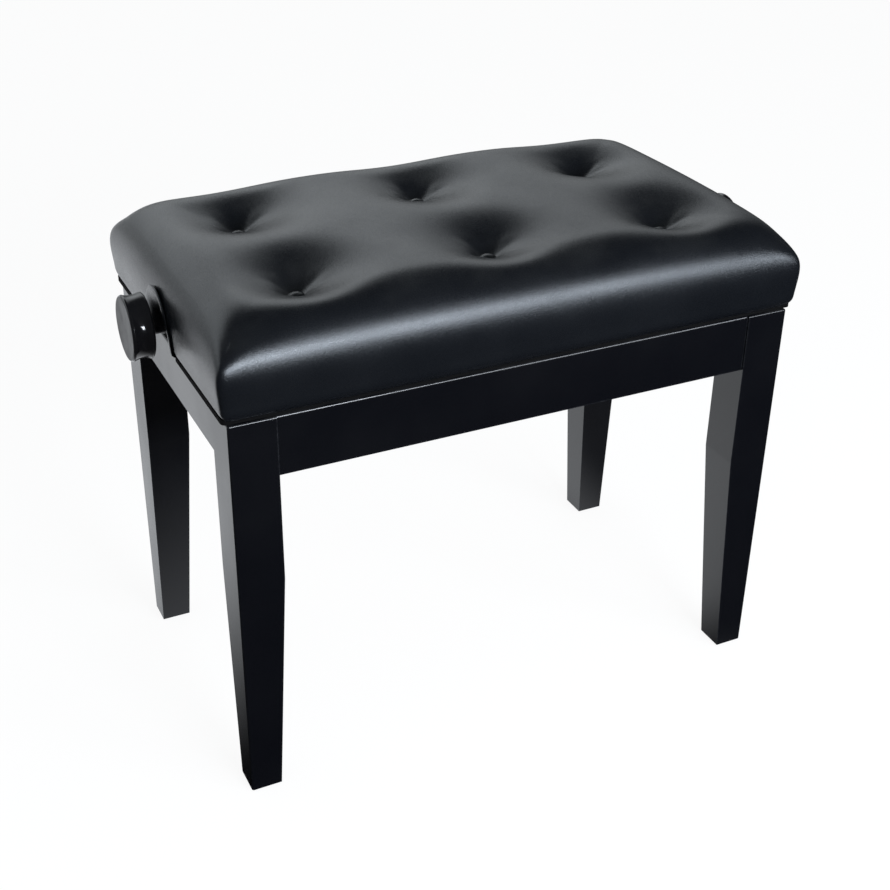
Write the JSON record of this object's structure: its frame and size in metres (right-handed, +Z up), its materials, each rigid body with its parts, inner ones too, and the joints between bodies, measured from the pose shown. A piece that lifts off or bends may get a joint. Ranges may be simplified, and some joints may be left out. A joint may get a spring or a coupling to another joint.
{
  "type": "adjustable piano bench",
  "caption": "Height-adjustable piano bench: button-tufted leather cushion on a scissor lift turned by side knobs, over a black wooden frame on tapered legs.",
  "frame": {"origin": "on the floor under the middle of the base", "axes": "+X along the seat's length, towards the right knob; +Y away from the sitter; +Z up"},
  "size_m": [0.637, 0.337, 0.4805],
  "materials": {
    "black_lacquer": "hardwood sprayed with satin black lacquer",
    "bare_wood": "planed pine, unfinished",
    "plywood": "sanded birch plywood",
    "black_steel": "powder-coated black steel",
    "zinc_steel": "bright zinc-plated steel",
    "black_plastic": "moulded black plastic, polished",
    "nylon": "moulded nylon",
    "felt": "pressed wool felt",
    "foam": "open-cell foam",
    "leather": "semi-gloss black upholstery leather",
    "twine": "waxed upholstery twine"
  },
  "bodies": {
    "base": {"leg_front_left": "black_lacquer", "leg_front_right": "black_lacquer", "leg_back_left": "black_lacquer", "leg_back_right": "black_lacquer", "corner_block_front_left": "bare_wood", "corner_block_front_right": "bare_wood", "corner_block_back_left": "bare_wood", "corner_block_back_right": "bare_wood", "apron_front": "black_lacquer", "apron_back": "black_lacquer", "apron_left": "black_lacquer", "apron_right": "black_lacquer", "cleat_front": "bare_wood", "cleat_back": "bare_wood", "lower_rail_front": "black_steel", "lower_rail_back": "black_steel", "apron_dowels": "bare_wood", "corner_bolts": "zinc_steel", "foot_glides": "nylon", "rest_pads": "felt", "cleat_screws": "zinc_steel", "lower_rail_screws": "zinc_steel", "lower_pivot_pins": "zinc_steel"},
    "arm_a_left": {"arm_a_left_front": "black_steel", "arm_a_left_back": "black_steel", "sliding_pins_a_left": "zinc_steel"},
    "arm_b_left": {"arm_b_left_front": "black_steel", "arm_b_left_back": "black_steel", "sliding_pins_b_left": "zinc_steel"},
    "arm_a_right": {"arm_a_right_front": "black_steel", "arm_a_right_back": "black_steel", "sliding_pins_a_right": "zinc_steel"},
    "arm_b_right": {"arm_b_right_front": "black_steel", "arm_b_right_back": "black_steel", "sliding_pins_b_right": "zinc_steel"},
    "crossbar_left": {"crossbar_left": "zinc_steel", "crossbar_clips_left": "zinc_steel"},
    "crossbar_right": {"crossbar_right": "zinc_steel", "crossbar_clips_right": "zinc_steel"},
    "stop_tube": {"stop_tube": "zinc_steel"},
    "spindle": {"spindle": "zinc_steel", "knob_left": "black_plastic", "knob_right": "black_plastic", "knob_grub_screws": "zinc_steel"},
    "seat": {"seat_rail_front": "bare_wood", "seat_rail_back": "bare_wood", "seat_rail_left": "bare_wood", "seat_rail_right": "bare_wood", "upper_rail_front": "black_steel", "upper_rail_back": "black_steel", "upper_pivot_pins": "zinc_steel", "upper_rail_screws": "zinc_steel", "seat_board": "plywood", "board_screws": "zinc_steel", "side_padding": "felt", "foam_pad": "foam", "leather_cover": "leather", "seat_buttons": "leather", "button_ties": "twine", "button_toggles": "nylon"}
  },
  "joints": [
    {"name": "arm_a_left_pivot", "type": "hinge", "parent": "base", "child": "arm_a_left", "pos_m": [-0.23, 0, 0.414], "axis": [0, -1, 0], "range_deg": [0, 24]},
    {"name": "centre_pivot_left", "type": "hinge", "parent": "arm_a_left", "child": "arm_b_left", "pos_m": [-0.13, 0, 0.422], "axis": [0, 1, 0], "range_deg": [0, 48.02]},
    {"name": "seat_pivot_left", "type": "hinge", "parent": "arm_b_left", "child": "seat", "pos_m": [-0.23, 0, 0.43], "axis": [0, -1, 0], "range_deg": [0, 24.01]},
    {"name": "crossbar_pivot_left", "type": "hinge", "parent": "arm_a_left", "child": "crossbar_left", "pos_m": [-0.13, 0, 0.422], "axis": [0, 1, 0], "range_deg": [0, 24.01]},
    {"name": "stop_tube_slide", "type": "slide", "parent": "crossbar_left", "child": "stop_tube", "axis": [1, 0, 0], "range_m": [0, 0.01191]},
    {"name": "spindle_turn", "type": "hinge", "parent": "stop_tube", "child": "spindle", "pos_m": [0, 0, 0.422], "axis": [1, 0, 0], "range_deg": [0, 2450]},
    {"name": "arm_a_right_pivot", "type": "hinge", "parent": "base", "child": "arm_a_right", "pos_m": [0.23, 0, 0.414], "axis": [0, 1, 0], "range_deg": [0, 24.01]},
    {"name": "centre_pivot_right", "type": "hinge", "parent": "arm_a_right", "child": "arm_b_right", "pos_m": [0.13, 0, 0.422], "axis": [0, -1, 0], "range_deg": [0, 48.02]},
    {"name": "crossbar_pivot_right", "type": "hinge", "parent": "arm_a_right", "child": "crossbar_right", "pos_m": [0.13, 0, 0.422], "axis": [0, -1, 0], "range_deg": [0, 24.01]}
  ],
  "couplings": [
    {"joint": "centre_pivot_left", "follows": "arm_a_left_pivot", "ratio": 2},
    {"joint": "seat_pivot_left", "follows": "arm_a_left_pivot", "ratio": 1},
    {"joint": "crossbar_pivot_left", "follows": "arm_a_left_pivot", "ratio": 1},
    {"joint": "stop_tube_slide", "follows": "arm_a_left_pivot", "m_per_rad": 0.028417},
    {"joint": "spindle_turn", "follows": "arm_a_left_pivot", "ratio": 102.03},
    {"joint": "arm_a_right_pivot", "follows": "arm_a_left_pivot", "ratio": 1},
    {"joint": "centre_pivot_right", "follows": "arm_a_left_pivot", "ratio": 2},
    {"joint": "crossbar_pivot_right", "follows": "arm_a_left_pivot", "ratio": 1}
  ]
}
